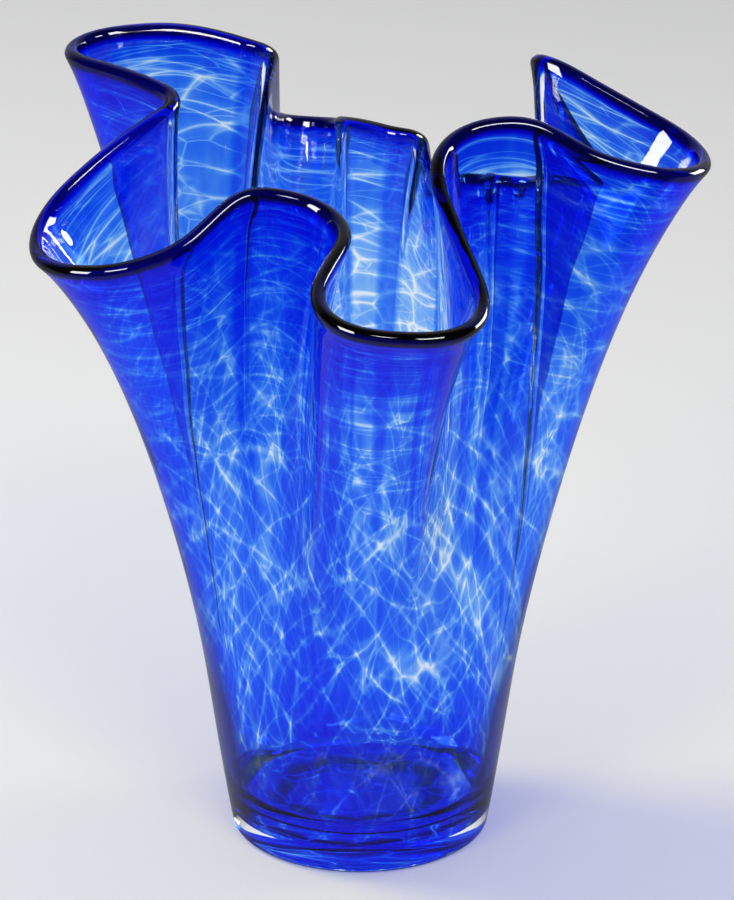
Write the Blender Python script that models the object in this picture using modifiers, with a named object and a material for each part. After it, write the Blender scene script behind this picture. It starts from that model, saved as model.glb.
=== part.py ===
"""Blown glass vase with a ruffled rim, built the way it is made.

A thick-footed cone is turned first. Its wall is then folded: every point of the cone keeps its share
of the way round and its height, and is carried towards the lip line, which runs like a belt round a
ring of rolls. The lobes hang outside the belt's rolls and the valleys between them are pushed in.
"""
import math
from collections import namedtuple

import bmesh
import bpy
import numpy as np

# Sizes in metres, heights measured from the face that stands on the table
VASE_HEIGHT = 0.2946
LIP_WIDTH = 0.2341
LIP_DEPTH = 0.2174
FOOT_RADIUS = 0.0464
FOOT_FACE_RADIUS = 0.044
FOOT_EDGE_HEIGHT = 0.003
FLOOR_THICKNESS = 0.014
FLOOR_CORNER = 0.013
WALL_THICKNESS = 0.004
LIP_THICKNESS = 0.0052
LIP_BEAD_HEIGHT = 0.009

# The unfolded cone opens from the foot's radius to this one at the middle height of its lip
CONE_TOP_RADIUS = 0.0775
CONE_POWER = 0.89

# The folds fade out downwards at this height, above the floor's corner, and grow with a power of
# the height above it
FOLD_START_HEIGHT = 0.032
FOLD_POWER = 1.71
# Share of the folding that comes late, as the lip is flared out
FLARE_SHARE = 0.295
FLARE_POWER = 6.85
# The lip is pulled up and down from the same height on, more and more towards the lip
PULL_POWER = 1.8
# Where the start of the lip line is rooted in the foot, in degrees anticlockwise from +X
ROOT_BEARING = -32.0

# How far the corners between rolls and walls are eased, along the lip
PLAN_EASE = 0.003
HEIGHT_EASE = 0.008

# Steps round the vase and up its wall
ROUND_STEPS = 160
WALL_ROWS = 10
ROW_CROWDING = 0.8
BEAD_ROWS = 2
LIP_ROWS = 4
CORNER_ROWS = 3

# The rolls anticlockwise from the right-hand lobe, in millimetres: the place and radius of each, the
# side that it pushes to, and how far the lip drops below its highest point at the roll and half-way
# along the wall after it. The plan is stretched to the lip's width and depth above.
MILLIMETRE = 0.001
LOBE = 1
VALLEY = -1
Roll = namedtuple("Roll", "x y radius side drop wall_drop")
ROLLS = (
    Roll(99.5, -10, 20, LOBE, 36, 18),
    Roll(69, 27, 7, VALLEY, 6, 38),
    Roll(75, 68, 13, LOBE, 72, 69),
    Roll(53, 66, 6, VALLEY, 63, 70),
    Roll(36, 92, 10, LOBE, 78, 63),
    Roll(15, 42, 7, VALLEY, 39, 39),
    Roll(0, 54, 7, VALLEY, 39, 46),
    Roll(-19, 80, 13, LOBE, 54, 29),
    Roll(-38, 30, 7, VALLEY, 4, 0),
    Roll(-90, 30, 12, LOBE, 7, 10),
    Roll(-71, -4, 7, VALLEY, 15, 26),
    Roll(-87, -49, 23, LOBE, 55, 51),
    Roll(-36, -66, 17, VALLEY, 33, 34),
    Roll(-21, -66, 16, VALLEY, 41, 48),
    Roll(3, -93, 17, LOBE, 59, 64),
    Roll(22, -92, 19, LOBE, 63, 43),
    Roll(44, -50, 18, VALLEY, 20, 14),
    Roll(60, -54, 23, VALLEY, 14, 28),
)

# Glass colour
COBALT = (0.01, 0.045, 0.55, 1.0)


def clear_scene():
    for old in list(bpy.data.objects):
        bpy.data.objects.remove(old, do_unlink=True)


def cobalt_glass():
    material = bpy.data.materials.new("cobalt glass")
    material.use_nodes = True
    shader = material.node_tree.nodes["Principled BSDF"]
    shader.inputs["Base Color"].default_value = COBALT
    shader.inputs["Roughness"].default_value = 0.03
    shader.inputs["Metallic"].default_value = 0.0
    shader.inputs["IOR"].default_value = 1.5
    shader.inputs["Transmission Weight"].default_value = 0.9
    material.diffuse_color = COBALT
    return material


def belt_round(rolls):
    """Points of a belt round the rolls, with its length at each roll and half-way along each wall."""
    centres = np.array([(roll.x, roll.y) for roll in rolls]) * MILLIMETRE
    curls = np.array([roll.radius * roll.side for roll in rolls]) * MILLIMETRE
    steps = np.roll(centres, -1, axis=0) - centres
    growth = np.roll(curls, -1) - curls
    walls = np.sqrt((steps ** 2).sum(axis=1) - growth ** 2)
    headings = np.arctan2(steps[:, 1], steps[:, 0]) - np.arctan2(growth, walls)

    points = []
    at_rolls = []
    at_walls = []
    length = 0.0
    for index, (centre, curl, wall) in enumerate(zip(centres, curls, walls)):
        side = math.copysign(1.0, curl)
        first = headings[index - 1]
        turn = ((headings[index] - first) * side) % math.tau
        arc = turn * abs(curl)
        bearings = first + side * turn * np.linspace(0, 1, 60)
        points.extend(centre + curl * np.stack([np.sin(bearings), -np.cos(bearings)], axis=1))
        at_rolls.append(length + arc / 2)
        at_walls.append(length + arc + wall / 2)
        length += arc + wall
    return np.array(points), np.array(at_rolls), np.array(at_walls), length


def evenly_spaced(points, count):
    """The closed line through the points, read again at even steps."""
    ring = np.vstack([points, points[:1]])
    travelled = np.append(0.0, np.cumsum(np.linalg.norm(np.diff(ring, axis=0), axis=1)))
    marks = np.linspace(0, travelled[-1], count, endpoint=False)
    return np.stack([np.interp(marks, travelled, column) for column in ring.T], axis=1)


def eased(values, reach, spacing):
    """Gaussian easing of values that lie evenly round a closed line."""
    waves = np.fft.fftfreq(len(values), spacing)
    fade = np.exp(-0.5 * (math.tau * waves * reach) ** 2)
    return np.real(np.fft.ifft(np.fft.fft(values, axis=0) * fade[:, None], axis=0))


def heights_between(marks, knots, heights, length):
    """Heights at the marks, on a curve through the knots that never swings past them."""
    order = np.argsort(knots)
    knots = knots[order]
    heights = heights[order]
    spans = np.diff(np.append(knots, knots[0] + length))
    rises = np.diff(np.append(heights, heights[0])) / spans
    before = np.roll(rises, 1)
    same_way = before * rises > 0
    slopes = np.where(same_way, 2 * before * rises / np.where(same_way, before + rises, 1.0), 0.0)

    wrapped = (marks - knots[0]) % length
    span = np.searchsorted(knots - knots[0], wrapped, side="right") - 1
    after = (span + 1) % len(knots)
    part = (wrapped - (knots[span] - knots[0])) / spans[span]
    rest = 1 - part
    level = heights[span] * rest ** 2 * (1 + 2 * part) + heights[after] * part ** 2 * (1 + 2 * rest)
    lean = spans[span] * part * rest * (slopes[span] * rest - slopes[after] * part)
    return level + lean


def spread_to(plan, width, depth):
    """The plan stretched from the foot's axis, so that it measures the given width and depth."""
    return plan * np.array([width, depth]) / np.ptp(plan, axis=0)


def lip_line(count=2400):
    """Points evenly along the middle of the lip, as x, y and height."""
    points, at_rolls, at_walls, length = belt_round(ROLLS)
    plan = evenly_spaced(points, count)
    marks = np.arange(count) * length / count
    drops = np.array([roll.drop for roll in ROLLS] + [roll.wall_drop for roll in ROLLS]) * MILLIMETRE
    top = VASE_HEIGHT - LIP_THICKNESS / 2
    height = heights_between(marks, np.append(at_rolls, at_walls) % length, top - drops, length)
    spacing = length / count
    plan = spread_to(eased(plan, PLAN_EASE, spacing), LIP_WIDTH - LIP_THICKNESS, LIP_DEPTH - LIP_THICKNESS)
    return np.hstack([plan, eased(height[:, None], HEIGHT_EASE, spacing)])


def shared_round(lip):
    """Share of the lip's length at each step, so that steps close up where the lip curls tightly."""
    ahead = np.roll(lip, -1, axis=0) - lip
    heading = np.unwrap(np.arctan2(ahead[:, 1], ahead[:, 0]))
    turning = np.abs(np.diff(np.append(heading, heading[0] + math.tau)))
    length = np.linalg.norm(ahead, axis=1)
    progress = np.append(0.0, np.cumsum(length / length.sum() + turning / turning.sum())) / 2
    return np.interp(np.arange(ROUND_STEPS) / ROUND_STEPS, progress, np.linspace(0, 1, len(lip) + 1))


def cone_radius(height, cone_top):
    """Radius of the middle of the unfolded wall."""
    foot = FOOT_RADIUS - WALL_THICKNESS / 2
    return foot + (CONE_TOP_RADIUS - foot) * (height / cone_top) ** CONE_POWER


def folded_wall(share, height, lip, cone_top):
    """Middle of the folded wall, at a share of the way round and a height on the unfolded cone."""
    slots = np.arange(len(lip) + 1) / len(lip)
    ring = np.vstack([lip, lip[:1]])
    lip_x, lip_y, lip_z = (np.interp(share % 1.0, slots, column) for column in ring.T)
    bearing = math.radians(ROOT_BEARING) + math.tau * share
    radius = cone_radius(height, cone_top)
    opened = cone_radius(cone_top, cone_top)
    climbed = np.clip((height - FOLD_START_HEIGHT) / (cone_top - FOLD_START_HEIGHT), 0, 1)
    fold = (1 - FLARE_SHARE) * climbed ** FOLD_POWER + FLARE_SHARE * climbed ** FLARE_POWER
    pull = climbed ** PULL_POWER
    return np.column_stack([
        radius * np.cos(bearing) + (lip_x - opened * np.cos(bearing)) * fold,
        radius * np.sin(bearing) + (lip_y - opened * np.sin(bearing)) * fold,
        height + (lip_z - cone_top) * pull,
    ])


def half_wall(below_lip):
    """Half the thickness of the wall, which swells into a bead at the lip."""
    swell = np.clip(1 - below_lip / LIP_BEAD_HEIGHT, 0, 1)
    return (WALL_THICKNESS + (LIP_THICKNESS - WALL_THICKNESS) * swell ** 2) / 2


def cone_profile(cone_top):
    """Outline of the unfolded vase: from the middle of the floor up the inside and down the outside."""
    bead = cone_top - LIP_BEAD_HEIGHT
    corner_top = FLOOR_THICKNESS + FLOOR_CORNER
    climb = np.linspace(0, 1, WALL_ROWS) ** ROW_CROWDING
    wall_rows = corner_top + (bead - corner_top) * climb
    inside = np.append(wall_rows, np.linspace(bead, cone_top, BEAD_ROWS + 1)[1:])
    outside = np.append(inside[:0:-1], [corner_top, FLOOR_THICKNESS, FOOT_EDGE_HEIGHT])

    points = [(0.0, FLOOR_THICKNESS)]
    inner_radius = cone_radius(corner_top, cone_top) - WALL_THICKNESS / 2
    for row in range(CORNER_ROWS):
        angle = math.pi / 2 * row / CORNER_ROWS
        across = inner_radius - FLOOR_CORNER * (1 - math.sin(angle))
        points.append((across, corner_top - FLOOR_CORNER * math.cos(angle)))
    for height in inside:
        points.append((cone_radius(height, cone_top) - half_wall(cone_top - height), height))
    lip_radius = cone_radius(cone_top, cone_top)
    for row in range(1, LIP_ROWS):
        angle = math.pi * row / LIP_ROWS
        across = lip_radius - LIP_THICKNESS / 2 * math.cos(angle)
        points.append((across, cone_top + LIP_THICKNESS / 2 * math.sin(angle)))
    for height in outside:
        points.append((cone_radius(height, cone_top) + half_wall(cone_top - height), height))
    edge_width = points[-1][0] - FOOT_FACE_RADIUS
    for row in range(1, CORNER_ROWS + 1):
        angle = math.pi / 2 * row / CORNER_ROWS
        across = FOOT_FACE_RADIUS + edge_width * math.cos(angle)
        points.append((across, FOOT_EDGE_HEIGHT * (1 - math.sin(angle))))
    points.append((0.0, 0.0))
    return points


def turned(name, profile, steps):
    """The profile spun round the Z axis into a closed mesh."""
    mesh = bpy.data.meshes.new(name)
    edges = [(index, index + 1) for index in range(len(profile) - 1)]
    mesh.from_pydata([(radius, 0.0, height) for radius, height in profile], edges, [])
    blank = bpy.data.objects.new(name, mesh)
    bpy.context.scene.collection.objects.link(blank)
    screw = blank.modifiers.new("turn", "SCREW")
    screw.axis = "Z"
    screw.steps = steps
    screw.render_steps = steps
    screw.use_merge_vertices = True
    screw.merge_threshold = 0.00001
    depsgraph = bpy.context.evaluated_depsgraph_get()
    spun = bpy.data.meshes.new_from_object(blank.evaluated_get(depsgraph))
    bpy.data.objects.remove(blank, do_unlink=True)
    return spun


def fold(mesh, lip, cone_top):
    """Carries the turned wall to its folded shape, keeping its thickness square to the glass."""
    flat = np.empty(len(mesh.vertices) * 3)
    mesh.vertices.foreach_get("co", flat)
    x, y, height = flat.reshape(-1, 3).T
    radius = np.hypot(x, y)
    step = np.arctan2(y, x) / math.tau % 1.0 * ROUND_STEPS
    share = np.interp(step, np.arange(ROUND_STEPS + 1), np.append(shared_round(lip), 1.0))

    # Foot and floor stay turned, and only take the steps of the wall above them
    bearing = math.radians(ROOT_BEARING) + math.tau * share
    placed = np.column_stack([radius * np.cos(bearing), radius * np.sin(bearing), height])

    wall = height > FOLD_START_HEIGHT
    on_wall = np.minimum(height[wall], cone_top)
    across = radius[wall] - cone_radius(on_wall, cone_top)
    above = height[wall] - on_wall
    middle = folded_wall(share[wall], on_wall, lip, cone_top)
    nudge = 0.0005
    share_nudge = nudge / FOOT_RADIUS / math.tau
    along = folded_wall(share[wall] + share_nudge, on_wall, lip, cone_top)
    along -= folded_wall(share[wall] - share_nudge, on_wall, lip, cone_top)
    up = middle - folded_wall(share[wall], on_wall - nudge, lip, cone_top)
    up /= np.linalg.norm(up, axis=1, keepdims=True)
    outward = np.cross(along, up)
    outward /= np.linalg.norm(outward, axis=1, keepdims=True)
    placed[wall] = middle + outward * across[:, None] + up * above[:, None]
    mesh.vertices.foreach_set("co", placed.ravel())
    mesh.update()


def build_vase(collection, material):
    lip = lip_line()
    cone_top = float(lip[:, 2].mean())
    mesh = turned("vase", cone_profile(cone_top), ROUND_STEPS)
    fold(mesh, lip, cone_top)

    shape = bmesh.new()
    shape.from_mesh(mesh)
    bmesh.ops.recalc_face_normals(shape, faces=shape.faces)
    shape.to_mesh(mesh)
    shape.free()
    mesh.shade_smooth()
    mesh.set_sharp_from_angle(angle=math.radians(60))
    mesh.materials.clear()
    mesh.materials.append(material)
    vase = bpy.data.objects.new("vase", mesh)
    collection.objects.link(vase)
    return vase


clear_scene()
vase_collection = bpy.data.collections.new("ruffled vase")
bpy.context.scene.collection.children.link(vase_collection)
build_vase(vase_collection, cobalt_glass())
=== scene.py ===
import math

import bpy
import numpy as np
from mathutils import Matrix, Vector


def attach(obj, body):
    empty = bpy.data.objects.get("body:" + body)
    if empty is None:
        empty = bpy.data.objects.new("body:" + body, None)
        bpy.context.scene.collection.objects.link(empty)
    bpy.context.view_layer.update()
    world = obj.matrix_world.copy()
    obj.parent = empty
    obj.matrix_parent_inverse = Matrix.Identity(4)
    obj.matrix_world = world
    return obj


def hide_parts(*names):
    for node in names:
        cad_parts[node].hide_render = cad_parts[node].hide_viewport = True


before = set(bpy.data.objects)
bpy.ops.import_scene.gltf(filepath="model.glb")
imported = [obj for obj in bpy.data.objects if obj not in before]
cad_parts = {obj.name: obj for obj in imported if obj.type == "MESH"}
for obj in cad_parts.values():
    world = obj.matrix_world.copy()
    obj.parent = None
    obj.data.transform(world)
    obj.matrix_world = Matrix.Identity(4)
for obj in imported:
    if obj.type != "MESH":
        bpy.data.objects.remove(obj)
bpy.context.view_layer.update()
print("frame loaded")

# Sizes in metres, rolls in millimetres, bearings in degrees anticlockwise from +X
vase = {
    "height": 0.2944,  # foot face to the highest point of the lip
    "lipWidth": 0.2337,
    "lipDepth": 0.2172,
    "footRadius": 0.0464,
    "footFaceRadius": 0.044,
    "footEdgeHeight": 0.003,
    "floorThickness": 0.014,
    "floorCorner": 0.013,
    "wallThickness": 0.004,
    "lipThickness": 0.0052,
    "lipBeadHeight": 0.009,
    "gatherEnd": 0.0098,  # the clear foot shows below this height
    "coneTopRadius": 0.0775,
    "conePower": 0.89,
    "foldStart": 0.032,  # height at which the folds fade out
    "foldPower": 1.71,
    "flareShare": 0.295,  # share of the folding that comes late, towards the lip
    "flarePower": 6.85,
    "pullPower": 1.8,  # how the lip's ups and downs fade downwards
    "rootBearing": -32.0,
    "planEase": 0.003,
    "heightEase": 0.008,
    "stepsRound": 520,
    "stepsUp": 72,
    "stepsCorner": 9,
    "stepsLip": 10,
    "stepsFootEdge": 8,
    "rowCrowding": 0.85,  # below 1 the rows come closer together towards the lip
    "lowerRows": (0.0235, 0.02, 0.016, 0.0125),  # heights of the outer rows beside the floor
    "footRow": 0.006,
}

# x, y, radius, side (1 is a lobe, -1 a valley), drop of the lip at the roll and on the wall after it
rolls = [
    (99.5, -10, 20, 1, 36, 18),
    (69, 27, 7, -1, 6, 38),
    (75, 68, 13, 1, 72, 69),
    (53, 66, 6, -1, 63, 70),
    (36, 92, 10, 1, 78, 63),
    (15, 42, 7, -1, 39, 39),
    (0, 54, 7, -1, 39, 46),
    (-19, 80, 13, 1, 54, 29),
    (-38, 30, 7, -1, 4, 0),
    (-90, 30, 12, 1, 7, 10),
    (-71, -4, 7, -1, 15, 26),
    (-87, -49, 23, 1, 55, 51),
    (-36, -66, 17, -1, 33, 34),
    (-21, -66, 16, -1, 41, 48),
    (3, -93, 17, 1, 59, 64),
    (22, -92, 19, 1, 63, 43),
    (44, -50, 18, -1, 20, 14),
    (60, -54, 23, -1, 14, 28),
]


# A socket that takes part in sums: an expression on it adds Math nodes
class Wire:
    def __init__(self, graph, socket):
        self.graph = graph
        self.socket = socket

    def math(self, operation, other=None, swapped=False):
        values = [self] if other is None else [other, self] if swapped else [self, other]
        inputs = dict(enumerate(values))
        return self.graph.add("ShaderNodeMath", {"operation": operation}, inputs).out(0)

    def __add__(self, other):
        return self.math("ADD", other)

    def __radd__(self, other):
        return self.math("ADD", other, True)

    def __sub__(self, other):
        return self.math("SUBTRACT", other)

    def __rsub__(self, other):
        return self.math("SUBTRACT", other, True)

    def __mul__(self, other):
        return self.math("MULTIPLY", other)

    def __rmul__(self, other):
        return self.math("MULTIPLY", other, True)

    def __truediv__(self, other):
        return self.math("DIVIDE", other)

    def __pow__(self, other):
        return self.math("POWER", other)

    def __rpow__(self, other):
        return self.math("POWER", other, True)

    def clipped(self):
        return self.math("MINIMUM", 1.0).math("MAXIMUM", 0.0)


# A node that hands out its outputs as wires
class Made:
    def __init__(self, graph, node):
        self.graph = graph
        self.node = node

    def out(self, name):
        return Wire(self.graph, self.node.outputs[name])


# A node tree that is built by adding nodes
class Graph:
    def __init__(self, tree):
        self.tree = tree

    def add(self, kind, settings=None, inputs=None):
        node = self.tree.nodes.new(kind)
        for name, value in (settings or {}).items():
            if name == "stops":
                self.setStops(node, value)
            else:
                setattr(node, name, value)
        for name, value in (inputs or {}).items():
            if isinstance(value, Wire):
                self.tree.links.new(value.socket, node.inputs[name])
            else:
                node.inputs[name].default_value = value
        return Made(self, node)

    def setStops(self, node, stops):
        ramp = node.color_ramp
        while len(ramp.elements) < len(stops):
            ramp.elements.new(0.5)
        for element, (place, colour) in zip(ramp.elements, stops):
            element.position = place
            element.color = colour

    def vector(self, operation, *values):
        made = self.add("ShaderNodeVectorMath", {"operation": operation}, dict(enumerate(values)))
        return made.out("Value" if operation in ("LENGTH", "DOT_PRODUCT", "DISTANCE") else "Vector")

    def scaled(self, vector, factor):
        made = self.add("ShaderNodeVectorMath", {"operation": "SCALE"}, {0: vector, "Scale": factor})
        return made.out("Vector")

    def mixColour(self, factor, first, second):
        inputs = {"Factor": factor, 6: first, 7: second}
        return self.add("ShaderNodeMix", {"data_type": "RGBA"}, inputs).out(2)

    def separate(self, vector):
        made = self.add("ShaderNodeSeparateXYZ", None, {0: vector})
        return made.out("X"), made.out("Y"), made.out("Z")

    def combine(self, x, y, z):
        return self.add("ShaderNodeCombineXYZ", None, {"X": x, "Y": y, "Z": z}).out(0)


# The belt round the rolls, with its length at each roll and half-way along each wall
def beltRound(arcPoints=60):
    centres = np.array([roll[:2] for roll in rolls]) / 1000
    curls = np.array([roll[2] * roll[3] for roll in rolls]) / 1000
    steps = np.roll(centres, -1, axis=0) - centres
    growth = np.roll(curls, -1) - curls
    walls = np.sqrt((steps ** 2).sum(axis=1) - growth ** 2)
    headings = np.arctan2(steps[:, 1], steps[:, 0]) - np.arctan2(growth, walls)
    points, atRolls, atWalls, length = [], [], [], 0.0
    for index, (centre, curl, wall) in enumerate(zip(centres, curls, walls)):
        side = math.copysign(1.0, curl)
        first = headings[index - 1]
        turn = ((headings[index] - first) * side) % math.tau
        bearings = first + side * turn * np.linspace(0, 1, arcPoints)
        points.extend(centre + curl * np.stack([np.sin(bearings), -np.cos(bearings)], axis=1))
        atRolls.append(length + turn * abs(curl) / 2)
        atWalls.append(length + turn * abs(curl) + wall / 2)
        length += turn * abs(curl) + wall
    return np.array(points), np.array(atRolls), np.array(atWalls), length


def evenlySpaced(points, count):
    ring = np.vstack([points, points[:1]])
    travelled = np.append(0.0, np.cumsum(np.linalg.norm(np.diff(ring, axis=0), axis=1)))
    marks = np.linspace(0, travelled[-1], count, endpoint=False)
    return np.stack([np.interp(marks, travelled, column) for column in ring.T], axis=1)


# Gaussian easing of values that lie evenly round a closed line
def eased(values, reach, spacing):
    waves = np.fft.fftfreq(len(values), spacing)
    fade = np.exp(-0.5 * (math.tau * waves * reach) ** 2)
    return np.real(np.fft.ifft(np.fft.fft(values, axis=0) * fade[:, None], axis=0))


# Heights at the marks, on a curve through the knots that never swings past them
def heightsBetween(marks, knots, heights, length):
    order = np.argsort(knots)
    knots, heights = knots[order], heights[order]
    spans = np.diff(np.append(knots, knots[0] + length))
    rises = np.diff(np.append(heights, heights[0])) / spans
    before = np.roll(rises, 1)
    sameWay = before * rises > 0
    slopes = np.where(sameWay, 2 * before * rises / np.where(sameWay, before + rises, 1.0), 0.0)
    wrapped = (marks - knots[0]) % length
    span = np.searchsorted(knots - knots[0], wrapped, side="right") - 1
    after = (span + 1) % len(knots)
    part = (wrapped - (knots[span] - knots[0])) / spans[span]
    rest = 1 - part
    level = heights[span] * rest ** 2 * (1 + 2 * part) + heights[after] * part ** 2 * (1 + 2 * rest)
    return level + spans[span] * part * rest * (slopes[span] * rest - slopes[after] * part)


def lipPoints(count=2400):
    points, atRolls, atWalls, length = beltRound()
    marks = np.arange(count) * length / count
    drops = np.array([roll[4] for roll in rolls] + [roll[5] for roll in rolls]) / 1000
    tops = vase["height"] - vase["lipThickness"] / 2 - drops
    height = heightsBetween(marks, np.append(atRolls, atWalls) % length, tops, length)
    spacing = length / count
    plan = eased(evenlySpaced(points, count), vase["planEase"], spacing)
    spread = np.array([vase["lipWidth"], vase["lipDepth"]]) - vase["lipThickness"]
    plan *= spread / np.ptp(plan, axis=0)
    return np.hstack([plan, eased(height[:, None], vase["heightEase"], spacing)])


def coneRadius(height, coneTop):
    foot = vase["footRadius"] - vase["wallThickness"] / 2
    return foot + (vase["coneTopRadius"] - foot) * (height / coneTop) ** vase["conePower"]


def halfWall(belowLip):
    swell = min(1.0, max(0.0, 1 - belowLip / vase["lipBeadHeight"]))
    return (vase["wallThickness"] + (vase["lipThickness"] - vase["wallThickness"]) * swell ** 2) / 2


# Outline of the unfolded vase: from the middle of the floor up the inside and down the outside
def coneOutline(coneTop):
    floor, corner = vase["floorThickness"], vase["floorCorner"]
    innerRadius = coneRadius(floor + corner, coneTop) - vase["wallThickness"] / 2
    points = [(innerRadius * share, floor) for share in (0.0, 0.15, 0.35, 0.55)]
    for row in range(vase["stepsCorner"]):
        angle = math.pi / 2 * row / vase["stepsCorner"]
        across = innerRadius - corner * (1 - math.sin(angle))
        points.append((across, floor + corner * (1 - math.cos(angle))))
    climb = np.linspace(0, 1, vase["stepsUp"]) ** vase["rowCrowding"]
    heights = floor + corner + (coneTop - floor - corner) * climb
    points += [(coneRadius(z, coneTop) - halfWall(coneTop - z), z) for z in heights]
    for row in range(1, vase["stepsLip"]):
        angle = math.pi * row / vase["stepsLip"]
        across = coneRadius(coneTop, coneTop) - vase["lipThickness"] / 2 * math.cos(angle)
        points.append((across, coneTop + vase["lipThickness"] / 2 * math.sin(angle)))
    lower = [*vase["lowerRows"], vase["gatherEnd"], vase["footRow"], vase["footEdgeHeight"]]
    outside = np.append(heights[::-1], lower)
    points += [(coneRadius(z, coneTop) + halfWall(coneTop - z), z) for z in outside]
    edgeWidth = points[-1][0] - vase["footFaceRadius"]
    for row in range(1, vase["stepsFootEdge"] + 1):
        angle = math.pi / 2 * row / vase["stepsFootEdge"]
        across = vase["footFaceRadius"] + edgeWidth * math.cos(angle)
        points.append((across, vase["footEdgeHeight"] * (1 - math.sin(angle))))
    points += [(vase["footFaceRadius"] * share, 0.0) for share in (0.8, 0.5, 0.2, 0.0)]
    return points


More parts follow.
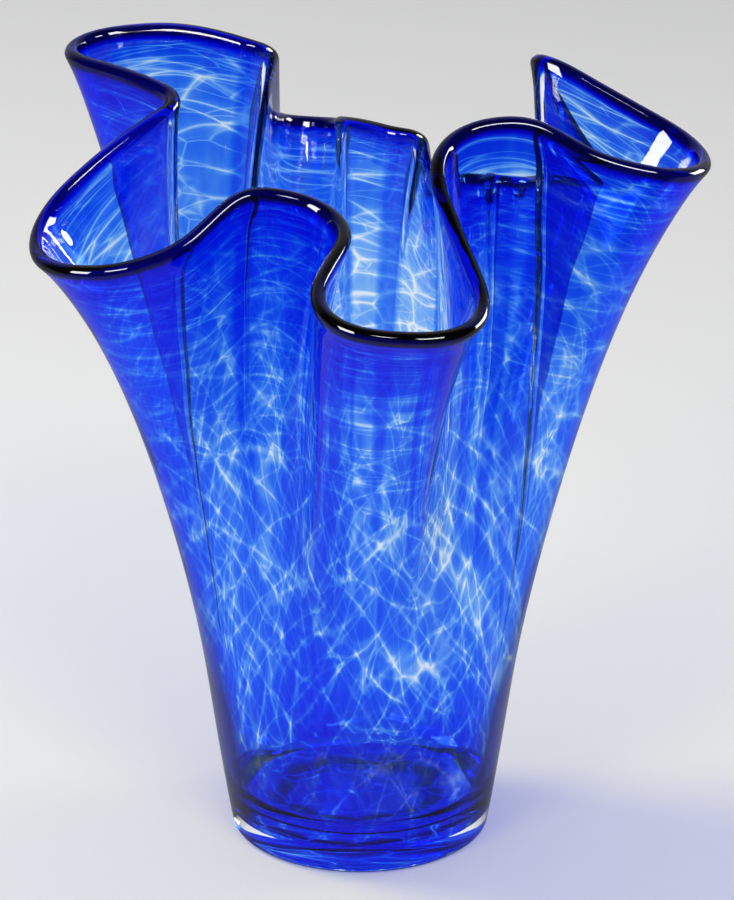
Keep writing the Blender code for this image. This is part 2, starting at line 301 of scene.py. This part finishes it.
# Geometry Nodes tree that folds a turned cone along the lip line
def foldingTree(cobalt, clear):
    tree = bpy.data.node_groups.new("foldedVase", "GeometryNodeTree")
    face = tree.interface
    face.new_socket("Geometry", in_out="INPUT", socket_type="NodeSocketGeometry")
    face.new_socket("Lip Line", in_out="INPUT", socket_type="NodeSocketObject")
    face.new_socket("Cone Top", in_out="INPUT", socket_type="NodeSocketFloat")
    inputs = {
        "Foot Radius": vase["footRadius"] - vase["wallThickness"] / 2,
        "Cone Top Radius": vase["coneTopRadius"],
        "Cone Power": vase["conePower"],
        "Fold Start": vase["foldStart"],
        "Fold Power": vase["foldPower"],
        "Flare Share": vase["flareShare"],
        "Flare Power": vase["flarePower"],
        "Pull Power": vase["pullPower"],
        "Root Bearing": math.radians(vase["rootBearing"]),
    }
    for name, value in inputs.items():
        face.new_socket(name, in_out="INPUT", socket_type="NodeSocketFloat").default_value = value
    face.new_socket("Geometry", in_out="OUTPUT", socket_type="NodeSocketGeometry")

    g = Graph(tree)
    given = g.add("NodeGroupInput")
    lip = g.add("GeometryNodeObjectInfo", {"transform_space": "RELATIVE"}, {
        "Object": given.out("Lip Line"),
    })
    coneTop, foldStart = given.out("Cone Top"), given.out("Fold Start")
    foot = given.out("Foot Radius")

    def radiusAt(height):
        climbed = (height / coneTop).clipped()
        return foot + (given.out("Cone Top Radius") - foot) * climbed ** given.out("Cone Power")

    # Middle of the folded wall at a share of the way round and a height on the cone
    def foldedPoint(share, height):
        bearing = given.out("Root Bearing") + share * math.tau
        ray = g.combine(bearing.math("COSINE"), bearing.math("SINE"), 0.0)
        sampled = g.add("GeometryNodeSampleCurve", {"mode": "FACTOR", "use_all_curves": False}, {
            "Curves": lip.out("Geometry"),
            "Factor": share.math("FRACT"),
        }).out("Position")
        lipX, lipY, lipZ = g.separate(sampled)
        climbed = ((height - foldStart) / (coneTop - foldStart)).clipped()
        late = given.out("Flare Share")
        early = (1 - late) * climbed ** given.out("Fold Power")
        fold = early + late * climbed ** given.out("Flare Power")
        gap = g.vector("SUBTRACT", g.combine(lipX, lipY, 0.0), g.scaled(ray, radiusAt(coneTop)))
        plan = g.vector("ADD", g.scaled(ray, radiusAt(height)), g.scaled(gap, fold))
        raised = height + (lipZ - coneTop) * climbed ** given.out("Pull Power")
        return g.vector("ADD", plan, g.combine(0.0, 0.0, raised))

    place = g.add("GeometryNodeInputPosition").out(0)
    x, y, z = g.separate(place)
    radius = (x * x + y * y).math("SQRT")
    share = y.math("ARCTAN2", x) / math.tau + 1.0
    height = z.math("MINIMUM", coneTop)
    across = radius - radiusAt(height)
    above = z - height
    middle = foldedPoint(share, height)

    # The wall's own directions, from points a nudge away, set the thickness square to it
    nudge = 0.0004
    ahead = foldedPoint(share + nudge, height)
    behind = foldedPoint(share - nudge, height)
    below = foldedPoint(share, height - nudge)
    up = g.vector("NORMALIZE", g.vector("SUBTRACT", middle, below))
    outward = g.vector("NORMALIZE", g.vector("CROSS_PRODUCT", g.vector("SUBTRACT", ahead, behind), up))
    folded = g.vector("ADD", middle, g.vector("ADD", g.scaled(outward, across), g.scaled(up, above)))

    # How tightly the wall bends, in 1/m, from points a stride away
    stride = 0.0035
    sideways = g.vector("SUBTRACT", foldedPoint(share + stride, height), middle)
    back = g.vector("SUBTRACT", middle, foldedPoint(share - stride, height))
    turning = g.vector("SUBTRACT", g.vector("NORMALIZE", sideways), g.vector("NORMALIZE", back))
    bend = g.vector("LENGTH", turning) / g.vector("LENGTH", sideways)

    # Below the folds the cone is only turned, so that it meets the folded wall
    bearing = given.out("Root Bearing") + share * math.tau
    east, north = bearing.math("COSINE"), bearing.math("SINE")
    turned = g.combine(radius * east, radius * north, z)
    isWall = z.math("GREATER_THAN", foldStart)
    position = g.add("GeometryNodeSwitch", {"input_type": "VECTOR"}, {
        "Switch": isWall,
        "False": turned,
        "True": folded,
    }).out(0)

    # What the pattern reads: the place on the unfolded cone, and how far out in the wall
    shell = g.combine(radiusAt(height) * east, radiusAt(height) * north, z)
    unfolded = g.add("GeometryNodeSwitch", {"input_type": "VECTOR"}, {
        "Switch": isWall,
        "False": turned,
        "True": shell,
    }).out(0)

    # A hair's margin keeps the rows at a limit on the right side of it
    hair = 0.0001
    underFloor = z.math("LESS_THAN", vase["floorThickness"] - 5 * hair)
    outerShare = (across.math("GREATER_THAN", 0.0) + underFloor).clipped()
    kept = g.add("GeometryNodeStoreNamedAttribute", {"data_type": "FLOAT_VECTOR", "domain": "POINT"}, {
        "Geometry": given.out("Geometry"),
        "Name": "unfolded",
        "Value": unfolded,
    })
    sided = g.add("GeometryNodeStoreNamedAttribute", {"data_type": "FLOAT", "domain": "POINT"}, {
        "Geometry": kept.out(0),
        "Name": "outside",
        "Value": outerShare,
    })
    tight = g.add("GeometryNodeStoreNamedAttribute", {"data_type": "FLOAT", "domain": "POINT"}, {
        "Geometry": sided.out(0),
        "Name": "bend",
        "Value": bend * isWall,
    })
    aboveFoot = z.math("GREATER_THAN", vase["gatherEnd"] - hair)
    under = z.math("LESS_THAN", vase["footEdgeHeight"] * 0.9)
    nearLip = z.math("GREATER_THAN", coneTop - vase["lipBeadHeight"])
    blue = (outerShare * aboveFoot + nearLip + under).math("GREATER_THAN", 0.5)
    faced = g.add("GeometryNodeStoreNamedAttribute", {"data_type": "FLOAT", "domain": "FACE"}, {
        "Geometry": tight.out(0),
        "Name": "cobalt",
        "Value": blue,
    })
    moved = g.add("GeometryNodeSetPosition", None, {"Geometry": faced.out(0), "Position": position})
    smooth = g.add("GeometryNodeSetShadeSmooth", None, {"Geometry": moved.out(0), "Shade Smooth": True})
    real = g.add("GeometryNodeRealizeInstances", None, {"Geometry": smooth.out(0)})
    lined = g.add("GeometryNodeSetMaterial", None, {"Geometry": real.out(0), "Material": clear})
    isCobalt = g.add("GeometryNodeInputNamedAttribute", {"data_type": "FLOAT"}, {"Name": "cobalt"})
    coated = g.add("GeometryNodeSetMaterial", None, {
        "Geometry": lined.out(0),
        "Selection": isCobalt.out(0),
        "Material": cobalt,
    })
    g.add("NodeGroupOutput", None, {0: coated.out(0)})
    return tree


def makeLipLine(points):
    curve = bpy.data.curves.new("lipLine", "CURVE")
    curve.dimensions = "3D"
    spline = curve.splines.new("POLY")
    spline.points.add(len(points) - 1)
    spline.points.foreach_set("co", np.hstack([points, np.ones((len(points), 1))]).ravel())
    spline.use_cyclic_u = True
    line = bpy.data.objects.new("lipLine", curve)
    bpy.context.collection.objects.link(line)
    return line


def makeVase(cobalt, clear):
    points = lipPoints()
    coneTop = float(points[:, 2].mean())
    line = makeLipLine(points)
    outline = coneOutline(coneTop)
    mesh = bpy.data.meshes.new("blownVase")
    edges = [(index, index + 1) for index in range(len(outline) - 1)]
    mesh.from_pydata([(radius, 0.0, height) for radius, height in outline], edges, [])
    blank = bpy.data.objects.new("blownVase", mesh)
    bpy.context.collection.objects.link(blank)
    screw = blank.modifiers.new("turn", "SCREW")
    screw.steps = vase["stepsRound"]
    screw.render_steps = vase["stepsRound"]
    screw.use_merge_vertices = True
    screw.merge_threshold = 0.000005
    folding = blank.modifiers.new("fold", "NODES")
    folding.node_group = foldingTree(cobalt, clear)
    sockets = {item.name: item.identifier for item in folding.node_group.interface.items_tree
               if item.in_out == "INPUT"}
    folding[sockets["Lip Line"]] = line
    folding[sockets["Cone Top"]] = coneTop
    dg = bpy.context.evaluated_depsgraph_get()
    dg.update()
    solid = bpy.data.meshes.new_from_object(
        blank.evaluated_get(dg), preserve_all_data_layers=True, depsgraph=dg)
    blank.modifiers.clear()
    blank.data = solid
    bpy.data.objects.remove(line, do_unlink=True)
    print("vase folded:", len(solid.polygons), "faces")
    return blank


glassLook = {
    "tint": (0.125, 0.365, 0.992),  # what a wall of density 1 lets through
    "bodyDensity": 1.3,
    "footDensity": 3.4,
    "footFade": 0.08,  # height at which the body's density is reached
    "rimDensity": 3.3,
    "rimFade": 0.062,  # how far below the lip the rim's density starts
    # Painted shade: extra density where the folds are tight, for the dark bands that light makes there
    "foldShadeDensity": 1.05,
    "looseBend": 40.0,  # bends in 1/m: the painted shade in the folds deepens from this one on, over this span
    "bendSpan": 80.0,
    "lipDensity": 9.0,
    "lipBand": 0.0024,
    "lipLevel": 0.2523,  # height of the lip on the unfolded vase
    "edgeNavy": (0.001, 0.002, 0.07, 1.0),
    "lampFilm": (0.62, 0.69, 0.975, 1.0),
    "palest": (0.97, 0.985, 1.0, 1.0),  # the clear glass lies between these two
    "faintBlue": (0.93, 0.96, 1.0, 1.0),
    "waveStrength": 0.12,
    "ior": 1.5,
}

# The pale threads. Heights are in metres on the unfolded vase
web = {
    "scale": 88.0,  # cells in a metre before the gather is drawn out
    "width": 0.045,  # of a thread, as a share of a cell
    "fineScale": 1.9,  # cells of the fine threads, times the scale above
    "fineWidth": 0.05,
    "haloFade": 0.0008,
    "twist": 9.5,  # how far the threads wind round, radians for each metre of height
    "lateTwist": 0.08,  # how much more they wind where the lip is drawn out
    "warp": 0.009,
    "drawnUp": 0.13,  # height in the pattern for each metre of wall
    "footCells": 0.01,  # how much less the cells are drawn up by the foot
    "streakStart": 0.152,  # cells turn into streaks along the lip from here on, over the span
    "streakSpan": 0.07,
    "streakShare": 0.66,
    "reachStart": 0.175,  # the lip's own pull starts here
    "reachSpan": 0.075,
    "lipPull": 0.048,
    "wanderScale": 40.0,
    "swellScale": 30.0,
    "driftScale": 17.0,
    "strandScale": 420.0,
}


# Lamps shine straight through the glass, so the floor gets a soft blue shade
def letLampsThrough(g, shader):
    lamps = g.add("ShaderNodeLightPath").out("Is Shadow Ray")
    film = g.add("ShaderNodeBsdfTransparent", None, {"Color": glassLook["lampFilm"]})
    mixed = g.add("ShaderNodeMixShader", None, {0: lamps, 1: shader.out(0), 2: film.out(0)})
    g.add("ShaderNodeOutputMaterial", None, {"Surface": mixed.out(0)})


# One family of pale threads, wound one way round the gather: bright core and soft halo
def webLines(g, place, turned, scale, width, seed):
    wound = g.add("ShaderNodeVectorRotate", {"rotation_type": "Z_AXIS"}, {
        "Vector": place,
        "Angle": turned,
    })
    moved = g.vector("ADD", wound.out(0), (0.37 * seed, 0.21 * seed, 0.53 * seed))
    gap = g.add("ShaderNodeTexVoronoi", {"feature": "DISTANCE_TO_EDGE"}, {
        "Vector": moved,
        "Scale": scale,
    }).out("Distance")
    core = (1 - gap / width).clipped() ** 1.1
    halo = web["haloFade"] ** gap
    return core, halo


def newMaterial(name):
    material = bpy.data.materials.new(name)
    material.use_nodes = True
    material.node_tree.nodes.clear()
    return material, Graph(material.node_tree)


def noise(g, place, scale, detail=1.0):
    return g.add("ShaderNodeTexNoise", None, {"Vector": place, "Scale": scale, "Detail": detail})


def warpedBy(g, place, wander, strength):
    push = g.vector("SUBTRACT", wander.out("Color"), (0.5, 0.5, 0.5))
    return g.vector("ADD", place, g.scaled(push, strength))


# What glass of a density lets through; its blue holds longest
def tintAt(g, tint, density):
    red, green, blue = tint
    return g.add("ShaderNodeCombineColor", None, {
        0: red ** density,
        1: green ** density,
        2: blue ** (density * density),
    }).out(0)


def addGlass(g, colour, ior, normal=None):
    inputs = {"Base Color": colour, "Roughness": 0.0, "IOR": ior, "Transmission Weight": 1.0}
    if normal:
        inputs["Normal"] = normal
    return g.add("ShaderNodeBsdfPrincipled", None, inputs)


# Hand-worked glass is never quite even: shallow waves that bend what is seen through it
def waves(g, place):
    swell = noise(g, place, 26.0).out("Fac")
    strength = glassLook["waveStrength"]
    bump = g.add("ShaderNodeBump", None, {"Strength": strength, "Distance": 0.004, "Height": swell})
    return bump.out(0)


def clearGlass():
    material, g = newMaterial("clear glass")
    place = g.add("ShaderNodeAttribute", {"attribute_name": "unfolded"}).out("Vector")
    faint = noise(g, place, 60.0, 2.0).out("Fac")
    colour = g.mixColour(faint, glassLook["palest"], glassLook["faintBlue"])
    letLampsThrough(g, addGlass(g, colour, glassLook["ior"], waves(g, place)))
    return material


# How much of the colour the threads leave, with finer strands and slow drifts over it
def threadedShare(g, place, low):
    x, y, z = g.separate(place)

    # The gather is drawn out: small cells low down, tall ones in the middle, streaks along the lip
    high = ((z - web["streakStart"]) / web["streakSpan"]).clipped()
    rising = high * high * (3 - 2 * high)
    across = 1.0 - 0.1 * low - web["streakShare"] * rising
    reach = ((z - web["reachStart"]) / web["reachSpan"]).math("MAXIMUM", 0.0)
    reach = reach * reach * reach
    climb = web["drawnUp"] * z - web["footCells"] * low * low + web["lipPull"] * reach
    drawn = g.combine(x * across, y * across, climb)
    wander = noise(g, g.combine(x, y, z * 0.5), web["wanderScale"])
    warped = warpedBy(g, drawn, wander, web["warp"])

    # Where the threads crowd, and where one family or the other gives way
    drift = noise(g, warped, web["driftScale"]).out("Fac")
    swell = noise(g, drawn, web["swellScale"]).out("Fac")
    busy = 0.3 + 0.7 * ((drift - 0.36) * 5.0).clipped()
    first = ((swell - 0.28) * 4.0).clipped() * busy
    second = ((0.72 - swell) * 4.0).clipped() * busy

    # Two families wound opposite ways, and a fine one that is wound a little
    turned = web["twist"] * (z + web["lateTwist"] * reach)
    scale, fineScale = web["scale"], web["scale"] * web["fineScale"]
    coreOne, haloOne = webLines(g, warped, turned, scale, web["width"], 1)
    coreTwo, haloTwo = webLines(g, warped, -1 * turned, scale * 1.05, web["width"], 2)
    coreFine = webLines(g, warped, 0.3 * turned, fineScale, web["fineWidth"], 3)[0]
    line = 0.95 - 0.2 * rising - 0.15 * low
    fineLine = 0.5 - 0.4 * low
    thin = (1 - 0.45 * haloOne * first) * (1 - 0.4 * haloTwo * second)
    thin = thin * (1 - line * coreOne * first) * (1 - line * coreTwo * second)
    thin = thin * (1 - fineLine * coreFine)

    # Bright spots where two halos cross
    spots = ((haloOne * haloTwo - 0.3) * 2.5).clipped() * (1 - 0.6 * rising)
    strands = noise(g, g.combine(x, y, z * 0.05), web["strandScale"]).out("Fac")
    return thin * (1 - 0.8 * spots) * (0.75 + 0.5 * strands) * (1.65 - 1.3 * drift)


def cobaltGlass():
    material, g = newMaterial("cobalt glass")
    place = g.add("ShaderNodeAttribute", {"attribute_name": "unfolded"}).out("Vector")
    outside = g.add("ShaderNodeAttribute", {"attribute_name": "outside"}).out("Fac")
    bend = g.add("ShaderNodeAttribute", {"attribute_name": "bend"}).out("Fac")
    z = g.separate(place)[2]

    # Darker towards the foot, much darker towards the lip, and darker as painted shade where the folds
    # are tight
    low = (1 - z / glassLook["footFade"]).clipped()
    lipGap = glassLook["lipLevel"] - z
    deep = (1 - lipGap / glassLook["rimFade"]).clipped()
    body = glassLook["bodyDensity"]
    density = body + (glassLook["footDensity"] - body) * low * low
    density = density + (glassLook["rimDensity"] - body) * deep * deep
    density = density * threadedShare(g, place, low)
    # Painted shade: the colour deepens where the wall bends tightly, standing in for the dark bands in
    # the folds
    tight = ((bend - glassLook["looseBend"]) / glassLook["bendSpan"]).clipped()
    density = density + glassLook["foldShadeDensity"] * tight
    graze = g.add("ShaderNodeLayerWeight", None, {"Blend": 0.5}).out("Facing")
    density = density * (1 + 0.5 * graze * graze)

    # The colour is a coat on the outside; the lip's is half as strong on the inside
    lip = (1.2 - lipGap / glassLook["lipBand"]).clipped()
    coat = density * outside + glassLook["lipDensity"] * lip * lip * (0.5 + 0.5 * outside)
    colour = tintAt(g, glassLook["tint"], 2 * coat)

    # Navy outlines where the wall is seen edge on, strongest low down
    edge = ((graze - 0.45) / 0.17).clipped()
    thick = 0.12 + 0.88 * (1 - (z - 0.06) / 0.08).clipped()
    colour = g.mixColour(edge * thick * outside, colour, glassLook["edgeNavy"])
    letLampsThrough(g, addGlass(g, colour, glassLook["ior"], waves(g, place)))
    return material


vasePiece = makeVase(cobaltGlass(), clearGlass())
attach(vasePiece, "root")
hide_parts("vase")

# A coloured film inside the glass of the foot, which bends no light itself
pool = {
    "radius": 0.048,
    "height": 0.01,
    "sag": 0.002,
    "steps": 96,
    "rings": 12,
    "collar": 0.028,  # radius of the dark ring round the floor's middle
    "collarWidth": 0.007,
    "scallops": 9,
    "scallopDepth": 0.0012,
    "tint": (0.125, 0.365, 0.978),
    "density": 2.2,
    "middleDensity": 0.8,
    "collarDensity": 5.5,
    "webScale": 75.0,
    "webWidth": 0.05,
    "wander": 0.02,
}


def poolMaterial():
    material, g = newMaterial("cobalt pool")
    place = g.add("ShaderNodeTexCoord").out("Object")
    wander = noise(g, place, 45.0, 2.0)
    warped = warpedBy(g, place, wander, pool["wander"])
    core, halo = webLines(g, warped, 0.0, pool["webScale"], pool["webWidth"], 4)
    x, y = g.separate(place)[:2]
    scallop = pool["scallopDepth"] * (y.math("ARCTAN2", x) * pool["scallops"]).math("SINE")
    away = (x * x + y * y).math("SQRT") + scallop + 0.012 * (wander.out("Fac") - 0.5)
    middle = (1 - (away - pool["collar"]) / 0.004).clipped()
    collar = (1 - (away - pool["collar"]).math("ABSOLUTE") / pool["collarWidth"]).clipped()
    density = pool["density"] + pool["middleDensity"] * middle + pool["collarDensity"] * collar
    density = 2 * density * (1 - 0.4 * halo) * (1 - 0.75 * core)
    letLampsThrough(g, addGlass(g, tintAt(g, pool["tint"], density), 1.0))
    return material


# The end of the cobalt gather, which closes the blue body above the clear foot
def makePool():
    steps, rings = pool["steps"], pool["rings"]
    points, faces = [(0.0, 0.0, pool["height"] - pool["sag"])], []
    for ring in range(1, rings + 1):
        share = ring / rings
        level = pool["height"] - pool["sag"] * (1 - share ** 4)
        for step in range(steps):
            angle = math.tau * step / steps
            radius = pool["radius"] * share
            points.append((radius * math.cos(angle), radius * math.sin(angle), level))
    for step in range(steps):
        after = (step + 1) % steps
        faces.append((0, 1 + step, 1 + after))
        for ring in range(rings - 1):
            inner = 1 + ring * steps
            outer = inner + steps
            faces.append((inner + step, outer + step, outer + after, inner + after))
    mesh = bpy.data.meshes.new("cobaltPool")
    mesh.from_pydata(points, [], faces)
    mesh.shade_smooth()
    mesh.materials.append(poolMaterial())
    piece = bpy.data.objects.new("cobaltPool", mesh)
    bpy.context.collection.objects.link(piece)
    return piece


poolPiece = makePool()
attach(poolPiece, "root")
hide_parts("vase")

# Floor tones from the camera's side to the far side, with painted shade falling off far away and a
# little near the camera, and what rays other than the camera's find
stage = {
    "near": (0.725, 0.725, 0.74, 1.0),
    "middle": (0.80, 0.80, 0.79, 1.0),
    "far": (0.625, 0.625, 0.62, 1.0),
    "toneStart": -0.3,
    "toneSpan": 1.6,
    "middleAt": 0.35,
    "halfWidth": 9.0,
    "airGap": 0.0002,
    "pale": (0.97, 0.98, 1.0, 1.0),
    "glow": 0.55,  # share of evenly pale floor that shows through the glass
    "dim": (0.05, 0.055, 0.07, 1.0),
    "litFront": -0.24,  # what is mirrored from in front of this line is dim
    "worldLight": 0.34,
    "worldSeen": 0.92,
}


# A wide pale floor, with no wall that could hide the vase from another side
def makeFloor():
    reach, level = stage["halfWidth"], -stage["airGap"]
    mesh = bpy.data.meshes.new("floor")
    signs = ((-1, -1), (1, -1), (1, 1), (-1, 1))
    mesh.from_pydata([(reach * x, reach * y, level) for x, y in signs], [], [(0, 1, 2, 3)])
    floor = bpy.data.objects.new("floor", mesh)
    bpy.context.collection.objects.link(floor)
    material, g = newMaterial("paper")
    y = g.separate(g.add("ShaderNodeTexCoord").out("Object"))[1]
    # Painted shade: the floor's tone is darker on the far side and a little darker on the camera's side
    back = ((y - stage["toneStart"]) / stage["toneSpan"]).clipped()
    stops = [(0.0, stage["near"]), (stage["middleAt"], stage["middle"]), (1.0, stage["far"])]
    shadedTone = g.add("ShaderNodeValToRGB", {"stops": stops}, {"Fac": back}).out("Color")
    paper = g.add("ShaderNodeBsdfPrincipled", None, {"Base Color": shadedTone, "Roughness": 0.75})
    glow = g.add("ShaderNodeEmission", None, {"Color": stage["pale"], "Strength": 1.0})
    dim = g.add("ShaderNodeEmission", None, {"Color": stage["dim"], "Strength": 1.0})

    # Cycles calls a sharp ray through glass glossy too, so those are taken off the mirrored ones
    rays = g.add("ShaderNodeLightPath")
    through = rays.out("Is Transmission Ray")
    mirrored = rays.out("Is Glossy Ray") * (1 - through)
    front = ((stage["litFront"] - y) / 0.15).clipped()
    share = mirrored * (0.65 + 0.35 * front) + 0.8 * through * front
    pale = g.add("ShaderNodeMixShader", None, {
        0: stage["glow"] * through,
        1: paper.out(0),
        2: glow.out(0),
    })
    mixed = g.add("ShaderNodeMixShader", None, {0: share, 1: pale.out(0), 2: dim.out(0)})
    g.add("ShaderNodeOutputMaterial", None, {"Surface": mixed.out(0)})
    mesh.materials.append(material)


# Dark in front and bright behind for what is mirrored and seen through, even for the rest
def makeWorld():
    world = bpy.data.worlds.new("studio")
    world.use_nodes = True
    world.node_tree.nodes.clear()
    g = Graph(world.node_tree)
    rays = g.add("ShaderNodeLightPath")
    y = g.separate(g.add("ShaderNodeTexCoord").out("Generated"))[1]
    through = rays.out("Is Transmission Ray")
    mirrored = rays.out("Is Glossy Ray") * (1 - through)
    camera = rays.out("Is Camera Ray")
    others = 1 - (mirrored + through + camera).clipped()
    level = stage["worldLight"] * others + stage["worldSeen"] * camera
    level = level + (0.03 + 0.45 * (1.4 * y).clipped()) * mirrored
    level = level + (0.22 + 0.75 * (0.2 + 1.6 * y).clipped()) * through
    shade = g.add("ShaderNodeBackground", None, {"Color": stage["pale"], "Strength": level})
    g.add("ShaderNodeOutputWorld", None, {"Surface": shade.out(0)})
    bpy.context.scene.world = world


# Bearing from the camera's side, positive towards the viewer's right, elevation, distance, size
# and brightness
softboxes = {
    "keyLeft": (-37, 20, 3.23, (0.935, 1.36), 8.0),
    "sideRight": (106, 14, 3.23, (0.85, 1.19), 7.0),
    "frontHigh": (20, 40, 3.4, (1.36, 0.85), 10.0),
    "sideLeft": (-110, 38, 3.4, (1.36, 1.36), 13.0),
}

# The same for the cards that only the gloss shows
cards = {
    "cardLeft": (-37, 18, 3.23, (1.53, 1.53), 22.0),
    "cardRight": (106, 12, 3.23, (1.7, 1.36), 22.0),
    "cardHigh": (15, 30, 3.4, (1.7, 0.765), 22.0),
}


def addLamp(name, isCard, bearing, elevation, distance, size, brightness):
    lamp = bpy.data.lights.new(name, "AREA")
    lamp.shape = "RECTANGLE"
    lamp.size, lamp.size_y = size
    lamp.energy = brightness * math.pi * lamp.size * lamp.size_y
    box = bpy.data.objects.new(name, lamp)
    turn, rise = math.radians(bearing), math.radians(elevation)
    way = Vector((math.sin(turn) * math.cos(rise), -math.cos(turn) * math.cos(rise), math.sin(rise)))
    box.location = Vector((0.0, 0.0, 0.2)) + way * distance
    box.rotation_euler = (-way).to_track_quat("-Z", "Y").to_euler()
    box.visible_camera = False
    box.visible_diffuse = not isCard
    box.visible_glossy = isCard
    box.visible_transmission = not isCard
    bpy.context.collection.objects.link(box)


makeFloor()
makeWorld()
for name, values in softboxes.items():
    addLamp(name, False, *values)
for name, values in cards.items():
    addLamp(name, True, *values)
print("stage and lamps set")

view = {
    "distance": 1.6,
    "elevation": 21.5,
    "target": (0.0025, 0.0, 0.1456),
    "focalPixels": 4480.0,
    "imageHeight": 900.0,
}


def makeCamera():
    lens = bpy.data.cameras.new("camera")
    lens.sensor_fit = "AUTO"
    lens.sensor_width = 36.0
    lens.lens = view["focalPixels"] / view["imageHeight"] * 36.0
    camera = bpy.data.objects.new("camera", lens)
    tilt = math.radians(view["elevation"])
    target = Vector(view["target"])
    camera.location = target + Vector((0.0, -math.cos(tilt), math.sin(tilt))) * view["distance"]
    camera.rotation_euler = (target - camera.location).to_track_quat("-Z", "Y").to_euler()
    bpy.context.collection.objects.link(camera)
    bpy.context.scene.camera = camera


makeCamera()
scene = bpy.context.scene
scene.view_settings.view_transform = "Standard"
scene.cycles.caustics_refractive = False
scene.cycles.caustics_reflective = False
# Light turns round many times inside the folds, and would leave black lines with fewer bounces
scene.cycles.max_bounces = 14
scene.cycles.transmission_bounces = 14
scene.cycles.glossy_bounces = 9
print("camera set")
